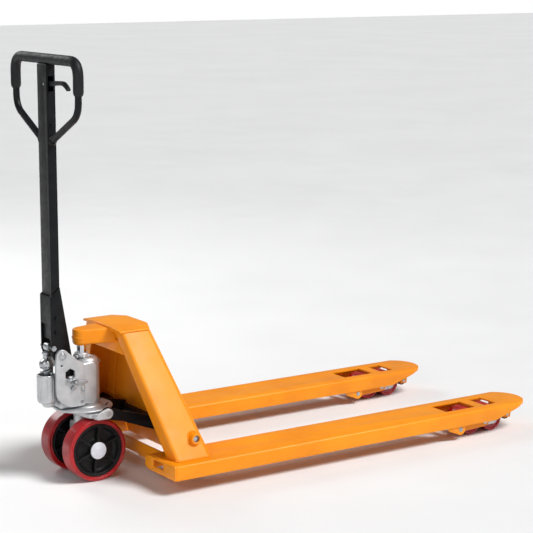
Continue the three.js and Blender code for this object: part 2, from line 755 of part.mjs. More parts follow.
// A path of straight runs with rounded corners.
function roundedPath(points, radii) {
  const path = new THREE.CurvePath();
  let from = points[0];
  for (let i = 1; i < points.length - 1; i += 1) {
    const corner = points[i];
    const next = points[i + 1];
    const before = corner.clone().add(from.clone().sub(corner).setLength(radii[i - 1]));
    const after = corner.clone().add(next.clone().sub(corner).setLength(radii[i - 1]));
    path.add(new THREE.LineCurve3(from, before));
    path.add(new THREE.QuadraticBezierCurve3(before, corner, after));
    from = after;
  }
  path.add(new THREE.LineCurve3(from, points[points.length - 1]));
  return path;
}

function onHandle(y, z) {
  return new THREE.Vector3(MAST_X, y, z);
}

function loopTube() {
  const points = [
    onHandle(34, 967), onHandle(LOOP_HALF - 3, 1046), onHandle(LOOP_HALF, LOOP_TOP),
    onHandle(-LOOP_HALF, LOOP_TOP), onHandle(-LOOP_HALF + 3, 1046), onHandle(-34, 967),
  ];
  const extrudePath = roundedPath(points, [34, 58, 58, 34]);
  return toSolid(new THREE.ExtrudeGeometry(circle(9.5), { steps: 48, curveSegments: 4, extrudePath }));
}

function loopGrip() {
  const points = [
    onHandle(LOOP_HALF - 1, 1098), onHandle(LOOP_HALF, LOOP_TOP), onHandle(-LOOP_HALF, LOOP_TOP),
    onHandle(-LOOP_HALF + 1, 1098),
  ];
  const extrudePath = roundedPath(points, [58, 58]);
  const section = circle(14.5);
  section.holes.push(new THREE.Path().absarc(0, 0, 11, 0, 2 * Math.PI, true));
  return toSolid(new THREE.ExtrudeGeometry(section, { steps: 32, curveSegments: 4, extrudePath }));
}

// About its pin: a paddle outside the mast and a short tail inside it, over the pull rod.
function controlLever() {
  const paddle = new THREE.Shape();
  paddle.moveTo(22, -3);
  paddle.lineTo(22, 3);
  paddle.lineTo(0, 8);
  paddle.lineTo(-60, 11);
  paddle.lineTo(-98, 12);
  paddle.lineTo(-128, -8);
  paddle.lineTo(-123, -14);
  paddle.lineTo(-94, 1);
  paddle.lineTo(-60, -1);
  paddle.lineTo(0, -8);
  return cut(extrudeX(paddle, -6, 6), cylinderX(0, 0, 3 + BORE_CLEARANCE, -10, 10));
}

function buildHandle() {
  piece('mast', mast(), blackPaint);
  piece('clevis', clevis(), blackPaint);
  piece('loop_tube', loopTube(), blackPaint);
  piece('loop_grip', loopGrip(), gripRubber);
  const [px, pz] = HANDLE_PIVOT;
  piece('handle_pivot_pin', cylinderY(px, pz, 8, -46, 46), zinc);
  const roller = groupAt(-103, 0, 386);
  piece('pressure_roller_pin', cylinderY(0, 0, 5, -34, 34, 16), zinc, roller);
  const ring = cut(cylinderY(0, 0, 12, -12, 12), cylinderY(0, 0, 5 + BORE_CLEARANCE, -20, 20, 16));
  piece('pressure_roller', ring, zinc, roller);
  const lever = groupAt(MAST_X, LEVER_PIVOT[0], LEVER_PIVOT[1]);
  piece('control_lever', controlLever(), blackPaint, lever);
  piece('lever_pin', cylinderX(0, 0, 3, -14, 14), zinc, lever);
  piece('pull_rod', cylinderZ(MAST_X, 8, 3, 404, LEVER_PIVOT[1] - 6, 10), zinc);
}

buildFrame();
buildLoadWheels();
buildRocker();
buildYoke();
buildSteering();
buildHandle();

const REAR_X = PISTON_X - 27;
jack.position.x = -(REAR_X + TIP_X) / 2;

export default jack;
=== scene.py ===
"""Looks of a hand pallet truck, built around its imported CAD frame.

Sizes are in millimetres, in the frame where X = 0 is the ram's axis, and place() turns them into
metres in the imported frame. Every piece is modelled in place, so its object sits at the origin.
"""

import json
import math

import bmesh
import bpy
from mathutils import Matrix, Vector

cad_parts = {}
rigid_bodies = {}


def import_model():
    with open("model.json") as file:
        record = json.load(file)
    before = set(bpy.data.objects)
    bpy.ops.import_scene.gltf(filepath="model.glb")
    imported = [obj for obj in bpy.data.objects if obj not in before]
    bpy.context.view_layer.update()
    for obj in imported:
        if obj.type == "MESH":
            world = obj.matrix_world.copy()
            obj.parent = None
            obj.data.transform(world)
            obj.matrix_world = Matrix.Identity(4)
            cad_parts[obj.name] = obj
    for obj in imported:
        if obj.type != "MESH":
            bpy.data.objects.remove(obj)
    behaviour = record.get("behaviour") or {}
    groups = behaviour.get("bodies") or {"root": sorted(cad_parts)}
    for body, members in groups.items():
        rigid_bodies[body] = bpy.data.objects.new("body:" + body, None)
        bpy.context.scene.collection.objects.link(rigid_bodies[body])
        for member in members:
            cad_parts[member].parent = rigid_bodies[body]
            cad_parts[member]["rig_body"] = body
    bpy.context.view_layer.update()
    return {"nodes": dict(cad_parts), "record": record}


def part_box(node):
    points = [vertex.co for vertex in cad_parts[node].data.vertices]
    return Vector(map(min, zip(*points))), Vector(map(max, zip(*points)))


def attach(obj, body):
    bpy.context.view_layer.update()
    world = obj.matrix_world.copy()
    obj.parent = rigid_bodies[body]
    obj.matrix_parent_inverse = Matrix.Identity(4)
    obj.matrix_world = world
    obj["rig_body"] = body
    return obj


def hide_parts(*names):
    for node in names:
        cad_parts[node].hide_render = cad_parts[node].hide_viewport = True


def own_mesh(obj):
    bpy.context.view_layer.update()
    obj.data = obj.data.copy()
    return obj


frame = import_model()

MM = 0.001
SIDES = (("left", 1), ("right", -1))
RAM_LOW, RAM_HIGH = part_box("ram")
RAM_X = (RAM_LOW.x + RAM_HIGH.x) / 2
SLOT_OF = {s["node"]: s["material_slot"] for s in frame["record"]["subparts"]}
SMOOTH_ANGLE = math.radians(38)


def place(x, y, z):
    return Vector((RAM_X + x * MM, y * MM, z * MM))


# ---------------------------------------------------------------- camera, lights and floor
CAMERA_TARGET = (-0.1109, -0.1587, 0.5751)
CAMERA_DISTANCE = 5.0
CAMERA_YAW = 33.68                  # degrees from +Y towards +X
CAMERA_PITCH = 10.21                # degrees down
CAMERA_LENS = 116.25
LIGHT_TARGET = (0, 0, 0.3)
DISK_LIGHT_SIZE = 2.0
SURROUNDINGS_STRENGTH = 0.3
FLOOR_HALF = 30                     # metres


def look_from(obj, position, target):
    obj.location = position
    direction = Vector(target) - Vector(position)
    obj.rotation_euler = direction.to_track_quat("-Z", "Y").to_euler()


def add_camera():
    camera = bpy.data.objects.new("camera", bpy.data.cameras.new("camera"))
    camera.data.lens = CAMERA_LENS
    camera.data.sensor_width = 36
    yaw = math.radians(CAMERA_YAW)
    pitch = math.radians(CAMERA_PITCH)
    forward = Vector((math.sin(yaw) * math.cos(pitch), math.cos(yaw) * math.cos(pitch), -math.sin(pitch)))
    target = Vector(CAMERA_TARGET)
    look_from(camera, target - forward * CAMERA_DISTANCE, target)
    bpy.context.scene.collection.objects.link(camera)
    bpy.context.scene.camera = camera


def add_light(name, kind, position, energy):
    light = bpy.data.lights.new(name, kind)
    light.energy = energy
    lamp = bpy.data.objects.new(name, light)
    look_from(lamp, position, LIGHT_TARGET)
    bpy.context.scene.collection.objects.link(lamp)
    return light


def add_disk_light(name, position, energy):
    light = add_light(name, "AREA", position, energy)
    light.shape = "DISK"
    light.size = DISK_LIGHT_SIZE


def add_lights():
    key = add_light("key", "SUN", (1.7, -2.6, 4.2), 3.1)
    key.angle = math.radians(24)
    add_disk_light("fill", (-3.6, -2.2, 1.9), 30)
    add_disk_light("back", (-1.0, 3.6, 2.8), 50)
    bpy.context.scene.view_settings.view_transform = "Standard"


def add_world():
    """Dim surroundings light the truck; the camera sees a white backdrop in their place."""
    world = bpy.data.worlds.new("studio")
    bpy.context.scene.world = world
    world.use_nodes = True
    nodes, links = world.node_tree.nodes, world.node_tree.links
    background = nodes["Background"]
    background.inputs["Strength"].default_value = SURROUNDINGS_STRENGTH
    coords = nodes.new("ShaderNodeTexCoord")
    split = nodes.new("ShaderNodeSeparateXYZ")
    ramp = nodes.new("ShaderNodeValToRGB")
    ramp.color_ramp.elements[0].position = 0.12
    ramp.color_ramp.elements[0].color = (1, 1, 1, 1)
    ramp.color_ramp.elements[1].position = 0.75
    ramp.color_ramp.elements[1].color = (0.42, 0.43, 0.45, 1)
    links.new(coords.outputs["Generated"], split.inputs["Vector"])
    links.new(split.outputs["Z"], ramp.inputs["Fac"])
    links.new(ramp.outputs["Color"], background.inputs["Color"])
    backdrop = nodes.new("ShaderNodeBackground")
    backdrop.inputs["Color"].default_value = (1, 1, 1, 1)
    ray = nodes.new("ShaderNodeLightPath")
    mix = nodes.new("ShaderNodeMixShader")
    links.new(ray.outputs["Is Camera Ray"], mix.inputs[0])
    links.new(background.outputs["Background"], mix.inputs[1])
    links.new(backdrop.outputs["Background"], mix.inputs[2])
    links.new(mix.outputs["Shader"], nodes["World Output"].inputs["Surface"])


# ---------------------------------------------------------------- materials
def srgb(red, green, blue):
    """Linear colour from 0-255 screen values."""
    def linear(value):
        value /= 255
        return value / 12.92 if value <= 0.04045 else ((value + 0.055) / 1.055) ** 2.4
    return (linear(red), linear(green), linear(blue), 1)


class Shader:
    """A Principled material whose colour, roughness and bump come from layered noise."""

    def __init__(self, name, roughness, metallic=0.0, **constants):
        self.material = bpy.data.materials.new(name)
        self.material.use_nodes = True
        self.tree = self.material.node_tree
        self.bsdf = self.tree.nodes["Principled BSDF"]
        self.bsdf.inputs["Roughness"].default_value = roughness
        self.bsdf.inputs["Metallic"].default_value = metallic
        for socket, value in constants.items():
            self.bsdf.inputs[socket.replace("_", " ")].default_value = value
        self.coords = self.tree.nodes.new("ShaderNodeTexCoord").outputs["Object"]
        self.normal = None

    def noise(self, scale, detail=3.0, roughness=0.55, stretch=(1, 1, 1)):
        mapping = self.tree.nodes.new("ShaderNodeMapping")
        mapping.inputs["Scale"].default_value = stretch
        texture = self.tree.nodes.new("ShaderNodeTexNoise")
        texture.inputs["Scale"].default_value = scale
        texture.inputs["Detail"].default_value = detail
        texture.inputs["Roughness"].default_value = roughness
        self.tree.links.new(self.coords, mapping.inputs["Vector"])
        self.tree.links.new(mapping.outputs["Vector"], texture.inputs["Vector"])
        return texture.outputs["Fac"]

    def ramp(self, source, stops):
        node = self.tree.nodes.new("ShaderNodeValToRGB")
        elements = node.color_ramp.elements
        for index, (position, colour) in enumerate(stops):
            element = elements[index] if index < 2 else elements.new(position)
            element.position = position
            element.color = colour
        self.tree.links.new(source, node.inputs["Fac"])
        return node.outputs["Color"]

    def colours(self, source, stops):
        self.tree.links.new(self.ramp(source, stops), self.bsdf.inputs["Base Color"])
        return self

    def roughness_between(self, source, low, high):
        node = self.tree.nodes.new("ShaderNodeMapRange")
        node.inputs["From Min"].default_value = 0.3
        node.inputs["From Max"].default_value = 0.7
        node.inputs["To Min"].default_value = low
        node.inputs["To Max"].default_value = high
        self.tree.links.new(source, node.inputs["Value"])
        self.tree.links.new(node.outputs["Result"], self.bsdf.inputs["Roughness"])
        return self

    def bump(self, source, strength, depth):
        node = self.tree.nodes.new("ShaderNodeBump")
        node.inputs["Strength"].default_value = strength
        node.inputs["Distance"].default_value = depth * MM
        self.tree.links.new(source, node.inputs["Height"])
        if self.normal:
            self.tree.links.new(self.normal, node.inputs["Normal"])
        self.normal = node.outputs["Normal"]
        self.tree.links.new(self.normal, self.bsdf.inputs["Normal"])
        return self


def make_yellow_paint():
    shader = Shader("yellow_paint", 0.42, Specular_IOR_Level=0.32, Coat_Weight=0.05, Coat_Roughness=0.2)
    shader.colours(shader.noise(7, 5), [
        (0.30, srgb(240, 140, 4)), (0.52, srgb(248, 150, 8)), (0.72, srgb(253, 158, 14)),
    ])
    shader.roughness_between(shader.noise(24, 6), 0.38, 0.50)
    shader.bump(shader.noise(420, 2), 0.10, 0.25)
    return shader.bump(shader.noise(26, 2), 0.06, 0.8).material


def make_black_paint():
    shader = Shader("black_paint", 0.42, Specular_IOR_Level=0.22)
    shader.colours(shader.noise(40, 5), [
        (0.30, srgb(10, 11, 13)), (0.55, srgb(15, 16, 19)), (0.75, srgb(22, 23, 26)),
    ])
    shader.roughness_between(shader.noise(60, 5), 0.34, 0.52)
    shader.bump(shader.noise(900, 2), 0.25, 0.2)
    return shader.bump(shader.noise(60, 3), 0.06, 0.5).material


def make_silver_paint():
    shader = Shader("silver_paint", 0.4, 0.55)
    shader.colours(shader.noise(28, 6), [
        (0.28, srgb(182, 184, 186)), (0.50, srgb(194, 196, 198)), (0.72, srgb(206, 208, 210)),
    ])
    shader.roughness_between(shader.noise(90, 4), 0.32, 0.50)
    shader.bump(shader.noise(150, 5, 0.62), 0.35, 0.7)
    return shader.bump(shader.noise(900, 2), 0.18, 0.2).material


def make_zinc():
    shader = Shader("zinc", 0.3, 1.0)
    shader.colours(shader.noise(55, 6), [
        (0.30, srgb(150, 154, 158)), (0.52, srgb(182, 185, 189)), (0.75, srgb(200, 199, 190)),
    ])
    shader.roughness_between(shader.noise(70, 5), 0.22, 0.42)
    return shader.bump(shader.noise(600, 3, stretch=(1, 0.08, 1)), 0.15, 0.2).material


def make_chrome():
    shader = Shader("chrome", 0.09, 1.0)
    shader.colours(shader.noise(30, 4), [(0.3, srgb(196, 200, 206)), (0.7, srgb(226, 228, 232))])
    shader.roughness_between(shader.noise(80, 6), 0.06, 0.16)
    return shader.bump(shader.noise(900, 2, stretch=(1, 1, 0.05)), 0.05, 0.1).material


def make_spring_steel():
    shader = Shader("spring_steel", 0.25, 1.0)
    shader.colours(shader.noise(90, 5), [(0.3, srgb(136, 142, 148)), (0.7, srgb(190, 194, 200))])
    shader.roughness_between(shader.noise(120, 4), 0.18, 0.36)
    return shader.bump(shader.noise(700, 3), 0.10, 0.15).material


def make_polyurethane():
    shader = Shader("red_polyurethane", 0.32, Coat_Weight=0.3, Coat_Roughness=0.18, IOR=1.5)
    shader.colours(shader.noise(16, 5), [
        (0.28, srgb(132, 6, 14)), (0.50, srgb(166, 10, 20)), (0.74, srgb(192, 16, 24)),
    ])
    shader.roughness_between(shader.noise(34, 6), 0.26, 0.44)
    shader.bump(shader.noise(240, 4), 0.12, 0.3)
    return shader.bump(shader.noise(14, 3), 0.08, 1.0).material


def make_hub_black():
    shader = Shader("hub_black", 0.5, Specular_IOR_Level=0.3)
    shader.colours(shader.noise(50, 5), [(0.3, srgb(9, 9, 10)), (0.7, srgb(19, 19, 21))])
    shader.roughness_between(shader.noise(70, 4), 0.36, 0.58)
    return shader.bump(shader.noise(320, 4), 0.25, 0.3).material


def make_cap_grey():
    shader = Shader("cap_grey", 0.42)
    shader.colours(shader.noise(40, 4), [(0.3, srgb(196, 200, 208)), (0.7, srgb(220, 223, 230))])
    shader.roughness_between(shader.noise(90, 4), 0.34, 0.5)
    return shader.bump(shader.noise(500, 3), 0.12, 0.2).material


def make_nylon_grey():
    shader = Shader("nylon_grey", 0.5)
    shader.colours(shader.noise(60, 4), [(0.3, srgb(66, 68, 71)), (0.7, srgb(90, 92, 95))])
    shader.roughness_between(shader.noise(80, 4), 0.42, 0.6)
    return shader.bump(shader.noise(400, 3), 0.2, 0.3).material


def make_grip_rubber():
    shader = Shader("grip_rubber", 0.58, Specular_IOR_Level=0.3)
    shader.colours(shader.noise(50, 5), [(0.3, srgb(16, 17, 19)), (0.7, srgb(27, 28, 31))])
    shader.roughness_between(shader.noise(70, 4), 0.46, 0.66)
    return shader.bump(shader.noise(1100, 2), 0.35, 0.35).material


def make_floor():
    shader = Shader("floor", 0.6)
    shader.colours(shader.noise(0.8, 4), [(0.3, (0.86, 0.86, 0.86, 1)), (0.7, (0.90, 0.90, 0.90, 1))])
    return shader.roughness_between(shader.noise(3, 4), 0.55, 0.7).material


MATERIALS = {
    "yellow_paint": make_yellow_paint(),
    "black_paint": make_black_paint(),
    "silver_paint": make_silver_paint(),
    "zinc": make_zinc(),
    "chrome": make_chrome(),
    "spring_steel": make_spring_steel(),
    "red_polyurethane": make_polyurethane(),
    "hub_black": make_hub_black(),
    "cap_grey": make_cap_grey(),
    "nylon_grey": make_nylon_grey(),
    "grip_rubber": make_grip_rubber(),
}


# ---------------------------------------------------------------- outlines
def arc(centre, radius, start, end, count=12):
    """Points of an arc, angles in degrees."""
    points = []
    for i in range(count + 1):
        angle = math.radians(start + (end - start) * i / count)
        points.append((centre[0] + radius * math.cos(angle), centre[1] + radius * math.sin(angle)))
    return points


def circle(centre, radius, count=32):
    return arc(centre, radius, 0, 360, count)[:-1]


def ngon(centre, radius, sides=6, turn=0.0):
    return arc(centre, radius, turn, turn + 360, sides)[:-1]


def bar(p, q, radius_p, radius_q=None, count=14):
    """Outline of a bar with round ends about p and q."""
    radius_q = radius_p if radius_q is None else radius_q
    angle = math.degrees(math.atan2(q[1] - p[1], q[0] - p[0]))
    length = math.hypot(q[0] - p[0], q[1] - p[1])
    lean = math.degrees(math.asin((radius_p - radius_q) / length))
    head = arc(q, radius_q, angle - 90 + lean, angle + 90 - lean, count)
    tail = arc(p, radius_p, angle + 90 - lean, angle + 270 + lean, count)
    return head + tail


def rounded(points, radius, closed=True, steps=3):
    """The polyline with its corners rounded; radius is one number, or one for each point."""
    radii = [radius] * len(points) if isinstance(radius, (int, float)) else radius
    result = []
    for i, corner in enumerate(points):
        if not closed and i in (0, len(points) - 1) or radii[i] <= 0:
            result.append(corner)
            continue
        corner_point = Vector(corner)
        before = Vector(points[i - 1]) - corner_point
        after = Vector(points[(i + 1) % len(points)]) - corner_point
        cut = min(radii[i], before.length * 0.49, after.length * 0.49)
        start = corner_point + before.normalized() * cut
        end = corner_point + after.normalized() * cut
        for step in range(steps + 1):
            t = step / steps
            point = start * (1 - t) ** 2 + corner_point * 2 * t * (1 - t) + end * t ** 2
            result.append(tuple(point))
    return result


def both_ways(half, middle):
    """A profile of (radius, distance) from the half of it that lies on one side of its middle."""
    return [(r, middle - t) for r, t in half] + [(r, middle + t) for r, t in reversed(half)]


def band(inner, outer, low, high):
    """The four corners of a plain ring's cross-section, or of a bar's where inner is 0."""
    return [(inner, low), (outer, low), (outer, high), (inner, high)]


# ---------------------------------------------------------------- meshes
def to_object(name, bm):
    bmesh.ops.recalc_face_normals(bm, faces=bm.faces)
    mesh = bpy.data.meshes.new(name)
    bm.to_mesh(mesh)
    bm.free()
    mesh.shade_smooth()
    mesh.set_sharp_from_angle(angle=SMOOTH_ANGLE)
    obj = bpy.data.objects.new(name, mesh)
    bpy.context.scene.collection.objects.link(obj)
    return obj


def on_axis(axis, u, v, t):
    """A point from two coordinates across an axis and one along it."""
    return {"x": (t, u, v), "y": (u, t, v), "z": (u, v, t)}[axis]


def lathe(name, profile, centre, axis="z", closed=False, segments=64, soften=0.8):
    """Turns a profile of (radius, distance along the axis)."""
    outline = rounded(profile, soften, closed) if soften else profile
    bm = bmesh.new()
    rings = []
    for radius, t in outline:
        if radius < 1e-6:
            rings.append([bm.verts.new(place(*on_axis(axis, centre[0], centre[1], t)))])
            continue
        rings.append([
            bm.verts.new(place(*on_axis(axis, *point, t))) for point in circle(centre, radius, segments)
        ])
    pairs = list(zip(rings, rings[1:]))
    if closed:
        pairs.append((rings[-1], rings[0]))
    for a, b in pairs:
        for i in range(segments):
            j = (i + 1) % segments
            corners = [a[i % len(a)], a[j % len(a)], b[j % len(b)], b[i % len(b)]]
            corners = list(dict.fromkeys(corners))
            if len(corners) > 2:
                bm.faces.new(corners)
    return to_object(name, bm)


def plate(name, loops, axis, low, high, bevel=1.0, resolution=2):
    """A flat plate with softened rims, from an outline and any holes, thickened along an axis."""
    curve = bpy.data.curves.new(name, "CURVE")
    curve.dimensions = "2D"
    curve.fill_mode = "BOTH"
    curve.extrude = (abs(high - low) / 2 - bevel) * MM
    curve.bevel_depth = bevel * MM
    curve.offset = -bevel * MM
    curve.bevel_resolution = resolution
    for loop in loops:
        spline = curve.splines.new("POLY")
        spline.points.add(len(loop) - 1)
        for point, (u, v) in zip(spline.points, loop):
            point.co = (u * MM, v * MM, 0, 1)
        spline.use_cyclic_u = True
    source = bpy.data.objects.new(name, curve)
    bpy.context.scene.collection.objects.link(source)
    graph = bpy.context.evaluated_depsgraph_get()
    mesh = bpy.data.meshes.new_from_object(source.evaluated_get(graph))
    bm = bmesh.new()
    bm.from_mesh(mesh)
    bpy.data.objects.remove(source)
    bpy.data.curves.remove(curve)
    bpy.data.meshes.remove(mesh)
    middle = (low + high) / 2
    for vertex in bm.verts:
        u, v, t = vertex.co / MM
        vertex.co = place(*on_axis(axis, u, v, t + middle))
    bmesh.ops.remove_doubles(bm, verts=bm.verts, dist=1e-6)
    return to_object(name, bm)


def block(name, x0, x1, y0, y1, z0, z1, bevel=1.0, segments=3):
    bm = bmesh.new()
    bmesh.ops.create_cube(bm, size=1)
    for vertex in bm.verts:
        fx, fy, fz = vertex.co + Vector((0.5, 0.5, 0.5))
        vertex.co = place(x0 + (x1 - x0) * fx, y0 + (y1 - y0) * fy, z0 + (z1 - z0) * fz)
    bmesh.ops.bevel(bm, geom=bm.edges[:], offset=bevel * MM, segments=segments, profile=0.5, affect="EDGES")
    return to_object(name, bm)


def loft(name, rings):
    """Skins rings of equal point counts, and closes both ends."""
    bm = bmesh.new()
    loops = [[bm.verts.new(place(*point)) for point in ring] for ring in rings]
    for a, b in zip(loops, loops[1:]):
        for i in range(len(a)):
            j = (i + 1) % len(a)
            bm.faces.new([a[i], a[j], b[j], b[i]])
    bm.faces.new(loops[0])
    bm.faces.new(loops[-1])
    return to_object(name, bm)


def sweep(name, path, radius, sides=20, ripple=0.0, period=4.0, ring_scale=None):
    """A round bar along a path of points; ripple makes it a weld bead."""
    points = [Vector(p) for p in path]
    bm = bmesh.new()
    previous_side = None
    loops = []
    run = 0.0
    for i, point in enumerate(points):
        ahead = points[min(i + 1, len(points) - 1)]
        behind = points[max(i - 1, 0)]
        tangent = (ahead - behind).normalized()
        if i:
            run += (point - points[i - 1]).length
        if previous_side is None:
            previous_side = tangent.orthogonal().normalized()
        side = (previous_side - tangent * previous_side.dot(tangent)).normalized()
        previous_side = side
        up = tangent.cross(side)
        size = radius * (1 + ripple * math.cos(2 * math.pi * run / period))
        if ring_scale:
            size *= ring_scale(i / (len(points) - 1))
        ring = []
        for k in range(sides):
            angle = 2 * math.pi * k / sides
            outward = side * math.cos(angle) + up * math.sin(angle)
            ring.append(bm.verts.new(place(*(point + size * outward))))
        loops.append(ring)
    for a, b in zip(loops, loops[1:]):
        for k in range(sides):
            j = (k + 1) % sides
            bm.faces.new([a[k], a[j], b[j], b[k]])
    for ring in (loops[0], loops[-1]):
        bm.faces.new(ring)
    return to_object(name, bm)


def refined(node, bevel, angle=30, segments=2):
    """A copy of a CAD node with its flat faces merged and its edges softened."""
    bm = bmesh.new()
    bm.from_mesh(frame["nodes"][node].data)
    bmesh.ops.remove_doubles(bm, verts=bm.verts, dist=2e-6)
    bmesh.ops.dissolve_limit(bm, angle_limit=math.radians(1), verts=bm.verts, edges=bm.edges)
    obj = to_object("fine_" + node, bm)
    modifier = obj.modifiers.new("edges", "BEVEL")
    modifier.width = bevel * MM
    modifier.segments = segments
    modifier.limit_method = "ANGLE"
    modifier.angle_limit = math.radians(angle)
    modifier.use_clamp_overlap = True
    graph = bpy.context.evaluated_depsgraph_get()
    mesh = bpy.data.meshes.new_from_object(obj.evaluated_get(graph))
    obj.modifiers.clear()
    obj.data = mesh
    mesh.shade_smooth()
    mesh.set_sharp_from_angle(angle=SMOOTH_ANGLE)
    return obj


# ---------------------------------------------------------------- putting pieces on the frame
def dress(obj, body, slot):
    obj.data.materials.clear()
    obj.data.materials.append(MATERIALS[slot])
    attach(obj, body)
    return obj


def stand_for(obj, node, slot=None):
    """obj replaces a CAD node, with that node's body and finish."""
    dress(obj, frame["nodes"][node]["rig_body"], slot or SLOT_OF[node])
    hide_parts(node)
    return obj


def detail(obj, node, slot=None):
    """obj is an extra that moves with a CAD node's body."""
    return dress(obj, frame["nodes"][node]["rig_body"], slot or SLOT_OF[node])


def weld(name, path, radius, node):
    """A rippled bead along straight runs between points."""
    points = [Vector(p) for p in path]
    dense = [points[0]]
    for a, b in zip(points, points[1:]):
        count = max(2, int((b - a).length / 1.3))
        dense += [a.lerp(b, i / count) for i in range(1, count + 1)]
    return detail(sweep(name, dense, radius, 8, 0.13, 4.2), node)


def hex_bolt(name, centre, axis, base, height, across, node, slot="zinc"):
    """Washer and chamfered hexagon head; base is where it sits and height is signed."""
    side = 1 if height > 0 else -1
    washer = lathe(name + "_washer", [
        (0, base), (across * 0.68, base), (across * 0.68, base + side * 1.4), (0, base + side * 1.4),
    ], centre, axis, segments=32, soften=0.3)
    low, high = sorted((base + side * 1.2, base + height))
    head = plate(name, [ngon(centre, across / math.sqrt(3), 6, 17)], axis, low, high, 0.6)
    detail(washer, node, slot)
    return detail(head, node, slot)


# ---------------------------------------------------------------- frame
FORK_TOP = 87
FORK_Y = 263.5
LEG_TOP = 421
LEG_FOOT = (129, 237, 310, 60)      # front, rear, outer face and flange width at fork height
LEG_HEAD = (72, 161, 110, 46)       # the same at the head
PLATE = 5
HEEL_WELD_X = 109.5
WEB = 5.85                          # a level cut through the leaning web
WEB_LEAN = 0.6                      # how far the web moves in for each unit of height
ROCKER_AXIS = (200, 140)            # x, z
BOSS_Y = (258, 297)
WEB_AT_BOSS = 278.5                 # outer face of the web at the height of the boss
BOSS_WELD_RADIUS = 17.2


def leg_values(z):
    t = (z - FORK_TOP) / (LEG_TOP - FORK_TOP)
    return [a + (b - a) * t for a, b in zip(LEG_FOOT, LEG_HEAD)]


def leg_ring(z, side):
    front, rear, outer, flange = leg_values(z)
    corners = [
        (front, outer), (rear, outer), (rear, outer - flange), (rear - PLATE, outer - flange),
        (rear - PLATE, outer - WEB), (front + PLATE, outer - WEB), (front + PLATE, outer - flange),
        (front, outer - flange),
    ]
    return [(x, side * y, z) for x, y in rounded(corners, [11, 9, 1, 1, 4, 5, 1, 1], steps=5)]


def boss_weld_path(side):
    """A ring round the boss, in the leaning plane of the leg's web."""
    x, z = ROCKER_AXIS
    path = []
    for i in range(81):
        angle = 2 * math.pi * i / 80
        rise = BOSS_WELD_RADIUS * math.sin(angle)
        y = side * (WEB_AT_BOSS - WEB_LEAN * rise)
        path.append((x + BOSS_WELD_RADIUS * math.cos(angle), y, z + rise))
    return path


def build_legs():
    low = FORK_TOP + 0.3
    for word, side in SIDES:
        rings = [leg_ring(low + (LEG_TOP - low) * i / 12, side) for i in range(13)]
        stand_for(loft(f"leg_channel_{word}", rings), f"leg_{word}")
        front, rear, outer, flange = leg_values(low)
        foot = [
            (front + 0.5, side * (outer - flange), low + 1.2), (front + 0.5, side * (outer - 6), low + 1.2),
            (front + 6, side * (outer + 0.3), low + 1.2), (rear - 6, side * (outer + 0.3), low + 1.2),
            (rear - 0.5, side * (outer - 6), low + 1.2),
        ]
        weld(f"foot_weld_{word}", foot, 2.6, f"leg_{word}")
        detail(sweep(f"boss_weld_{word}", boss_weld_path(side), 2.2, 8, 0.12, 4.2), f"leg_{word}")


def build_bosses():
    for word, side in SIDES:
        profile = band(10.4, 15.5, side * BOSS_Y[0], side * BOSS_Y[1])
        boss = lathe(f"boss_tube_{word}", profile, ROCKER_AXIS, "y", closed=True, soften=1.2)
        stand_for(boss, f"shaft_boss_{word}")
    shaft = both_ways([(0, 291), (6, 291), (8.8, 290), (10, 288)], 0)
    stand_for(lathe("shaft_bar", shaft, ROCKER_AXIS, "y", soften=0.5), "rocker_shaft")
    for word, side in SIDES:
        profile = band(9.4, 10.9, side * 292, side * 293.2)
        clip = lathe(f"shaft_clip_{word}", profile, ROCKER_AXIS, "y", closed=True, soften=0.2)
        detail(clip, "rocker_shaft")


def build_head():
    nose = arc((2, 0), 27, 103, 257, 24)
    outline = rounded(nose + [(95, -48), (159, -48), (159, 48), (95, 48)], [0] * 25 + [18, 0, 0, 18], steps=5)
    stand_for(plate("head_beam", [outline], "z", 383, 427, 6.5, 5), "head")
    seat = lathe("ram_seat", [
        (14.3, 396), (14.3, 381), (15.5, 380), (19.5, 380), (21, 383), (22.5, 392), (27, 399), (27, 405),
        (14.3, 405),
    ], (0, 0), closed=True, soften=1.5)
    detail(seat, "head")
    nipple = lathe("grease_nipple", [
        (0, -25), (1.6, -25), (2.4, -24), (1.6, -22.8), (2.4, -21.8), (2.4, -20), (0, -20),
    ], (0, 386), "x", soften=0.3, segments=20)
    detail(nipple, "head", "zinc")
    stand_for(refined("head_cap", 3.2, segments=4), "head_cap")
    stand_for(refined("head_gusset", 1.2), "head_gusset")
    stand_for(lathe("ram_bar", [(0, 214), (13, 214), (14, 216), (14, 409), (0, 409)], (0, 0)), "ram")
    for word, side in SIDES:
        weld(f"head_weld_{word}", [(96, side * 49, 388), (96, side * 49, 418)], 2.4, "head")


def build_frame():
    for word, side in SIDES:
        stand_for(refined(f"fork_{word}", 0.9, 40), f"fork_{word}")
        stand_for(refined(f"heel_plate_{word}", 1.2), f"heel_plate_{word}")
        edge = [(340.5, 48), (340.5, 80), (335, 86.6), (192, 86.6)]
        weld(f"heel_weld_{word}", [(HEEL_WELD_X, side * y, z) for y, z in edge], 2.0, f"heel_plate_{word}")
        weld(f"beam_weld_{word}", [(149, side * 183, 46), (149, side * 183, 82)], 2.2, "cross_beam")
    stand_for(refined("cross_beam", 1.2), "cross_beam")
    stand_for(refined("bulkhead", 1.2), "bulkhead")
    build_legs()
    build_bosses()
    build_head()


# ---------------------------------------------------------------- load wheels
LOAD_ROLLER_X = {"rear": 1193, "front": 1277}
LOAD_ROLLER_Z = 40
ARM_PIVOT = (1122, 34.5)            # x, z
ENTRY_ROLLER = (1342, 42)


def pin(name, centre, radius, half, offset=0.0):
    """A chamfered pin across the truck."""
    profile = both_ways([(0, half), (radius - 1, half), (radius, half - 1)], offset)
    return lathe(name, profile, centre, "y", soften=0.3, segments=32)


